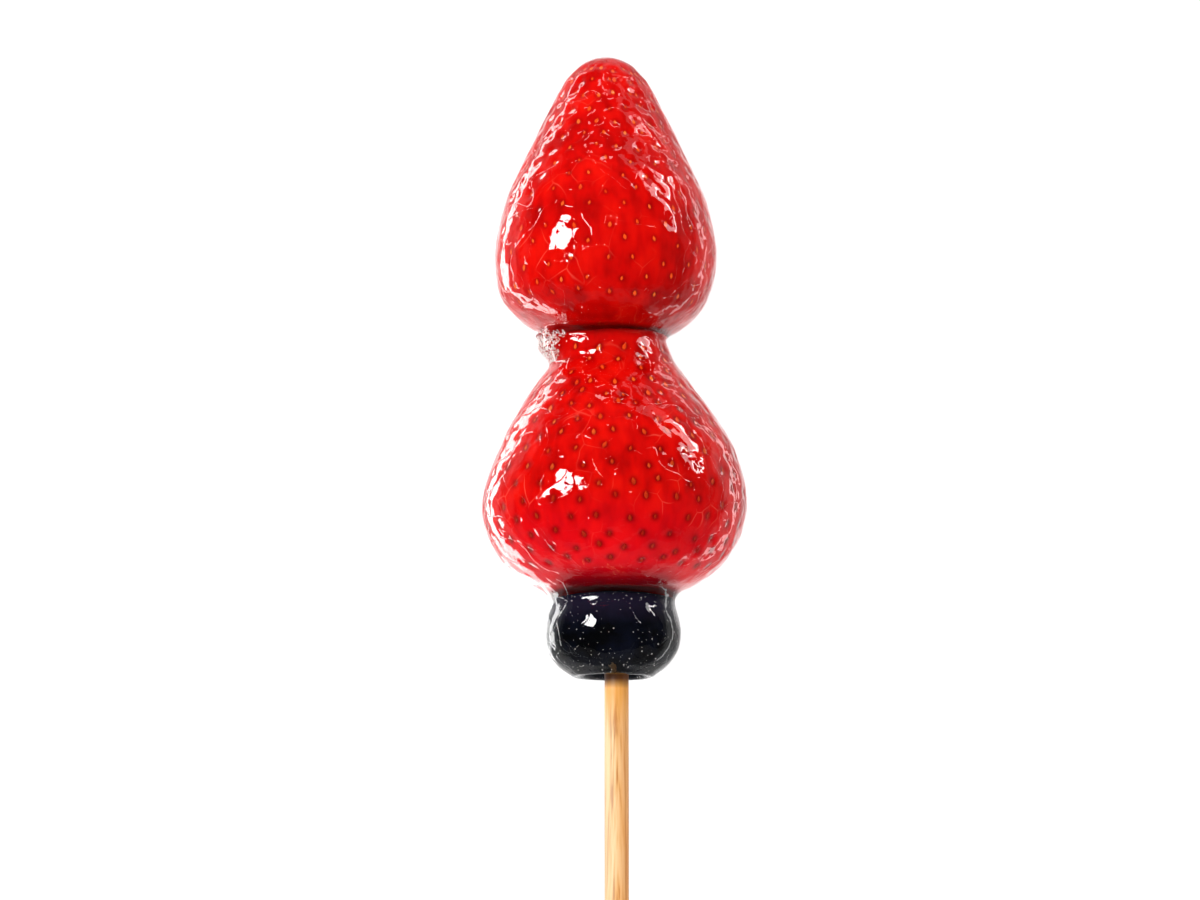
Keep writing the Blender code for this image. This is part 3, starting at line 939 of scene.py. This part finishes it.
def softbox(name, direction, distance, size, radiance, target, mirrored=True):
    """A panel in a direction of the photo, facing the target."""
    toward = place.direction(*direction)
    toward = toward / np.linalg.norm(toward)
    area_light(name, target + toward * distance, -toward, size, radiance, mirrored)


def lamps(middle):
    """The photo's lamps: fills that leave no highlight, and panels where its highlights ask for them."""
    low, high = cad_box
    softbox("key", (-0.64, 0.36, 0.70), 0.6, (0.21, 0.20), 25.0, middle)
    softbox("front", (-0.25, 0.30, 0.92), 0.8, (0.5, 0.5), 2.2, middle, mirrored=False)
    softbox("front_low", (-0.10, -0.40, 0.90), 0.8, (0.5, 0.4), 0.6, middle, mirrored=False)
    softbox("right", (0.97, 0.0, 0.22), 0.5, (0.4, 0.3), 3.0, middle, mirrored=False)
    softbox("tip_side", (0.0, 0.97, 0.25), 0.5, (0.4, 0.2), 3.0, middle, mirrored=False)
    softbox("handle_side", (0.0, -0.93, 0.28), 0.5, (0.5, 0.2), 6.0, middle, mirrored=False)
    softbox("below", (0.0, -0.95, 0.32), 0.5, (1.4, 0.3), 0.10, middle)
    softbox("top_right", (0.72, 0.66, 0.10), 0.30, (0.14, 0.07), 4.5, middle)
    softbox("top_right_line", (0.80, 0.58, 0.03), 0.30, (0.15, 0.016), 15.0, middle)
    softbox("top", (0.42, 0.90, 0.10), 0.30, (0.14, 0.07), 0.6, middle)
    tip = place.points(np.array([UPPER.shift, 0.0, UPPER.base + UPPER_OUTLINE[0][0]]))
    softbox("tip_glint", (-0.20, 0.90, 0.36), 0.07, (0.012, 0.008), 4.5, tip)
    softbox("tip_glint_right", (0.15, 0.93, 0.30), 0.07, (0.010, 0.008), 4.0, tip)
    softbox("sparkle", (0.05, 0.62, 0.78), 0.40, (0.012, 0.012), 6.0, middle)
    up = (0.0, 0.0, 1.0)
    area_light("left_strip", (low.x - 0.018, 0.062, 0.001), up, (0.012, 0.136), 6.5)
    area_light("right_strip", (high.x + 0.022, 0.045, 0.001), up, (0.006, 0.15), 2.5)
    area_light("berry_left", (-0.0205, 0.006, 0.0012), up, (0.016, 0.014), 2.6)


def floor_glow(tree):
    """The floor's light: even to the camera and through the sugar, else fading away from the fruit."""
    path = add(tree, "ShaderNodeLightPath")
    either = maths(tree, "MAXIMUM", path.outputs["Is Camera Ray"], path.outputs["Is Transmission Ray"])
    spot = where(tree)
    nearest = None
    for x, y, radius in GLOW_CIRCLES:
        away = add(tree, "ShaderNodeVectorMath", {"operation": "DISTANCE"})
        put(tree, away.inputs[0], spot)
        put(tree, away.inputs[1], (x * MM, y * MM, 0.0))
        edge = maths(tree, "SUBTRACT", away.outputs["Value"], radius * MM)
        nearest = edge if nearest is None else maths(tree, "MINIMUM", nearest, edge)
    near = span(tree, nearest, 0.005, 0.012, 1.0, 0.34)
    glow = maths(tree, "MULTIPLY", near, span(tree, nearest, 0.045, 0.090, 1.0, 0.0))
    return maths(tree, "MAXIMUM", maths(tree, "MULTIPLY", either, FLOOR_SEEN), glow)


def make_floor():
    """A plain pale floor."""
    half = FLOOR_HALF
    mesh = bpy.data.meshes.new("floor")
    mesh.from_pydata([(-half, -half, 0), (half, -half, 0), (half, half, 0), (-half, half, 0)], [],
                     [(0, 1, 2, 3)])
    made, tree, shader, _ = new_material("pale_floor")
    fill(tree, shader, Base_Color=(0.12, 0.12, 0.12, 1.0), Roughness=0.9, Specular_IOR_Level=0.0,
         Emission_Color=(1.0, 1.0, 1.0, 1.0), Emission_Strength=floor_glow(tree))
    mesh.materials.append(made)
    ground = bpy.data.objects.new("floor", mesh)
    bpy.context.scene.collection.objects.link(ground)
    return ground


def sky():
    """A faint even sky."""
    world = bpy.data.worlds.new("studio")
    world.use_nodes = True
    background = world.node_tree.nodes["Background"]
    background.inputs["Color"].default_value = (1.0, 1.0, 1.0, 1.0)
    background.inputs["Strength"].default_value = SKY_STRENGTH
    bpy.context.scene.world = world


def camera(middle):
    """The photo's camera, looking a little up the sweet."""
    toward = place.direction(0.0, 0.0, 1.0)
    up = place.direction(0.0, 1.0, 0.0)
    data = bpy.data.cameras.new("camera")
    data.sensor_width = SENSOR
    data.lens = SENSOR * CAMERA_DISTANCE / (PICTURE_WIDTH * PIXEL)
    data.clip_start = 0.01
    made = bpy.data.objects.new("camera", data)
    bpy.context.scene.collection.objects.link(made)
    turn = Matrix([np.cross(up, toward), up, toward]).transposed().to_4x4()
    made.matrix_world = Matrix.Translation(Vector(middle + toward * CAMERA_DISTANCE)) @ turn
    bpy.context.scene.camera = made


FLESH = flesh_look()
SEED = seed_look()
SKIN = skin_look()
BAMBOO = bamboo_look()
BUBBLE = bubble_look()
SUGAR = sugar_look()

draw = random.Random(7)
upper_spots = strawberry(UPPER, draw)
lower_spots = strawberry(LOWER, draw)
blueberry()
stick()
bubbles(draw)
glaze(upper_spots, lower_spots)

middle_right = MIDDLE_RIGHT * PIXEL / MM
middle_height = BARE_STICK + MIDDLE_UP * PIXEL / MM
picture_middle = place.points(np.array([middle_right, 0.0, middle_height]))
lamps(picture_middle)
floor = make_floor()
sky()
camera(picture_middle)
bpy.context.scene.view_settings.view_transform = "Standard"
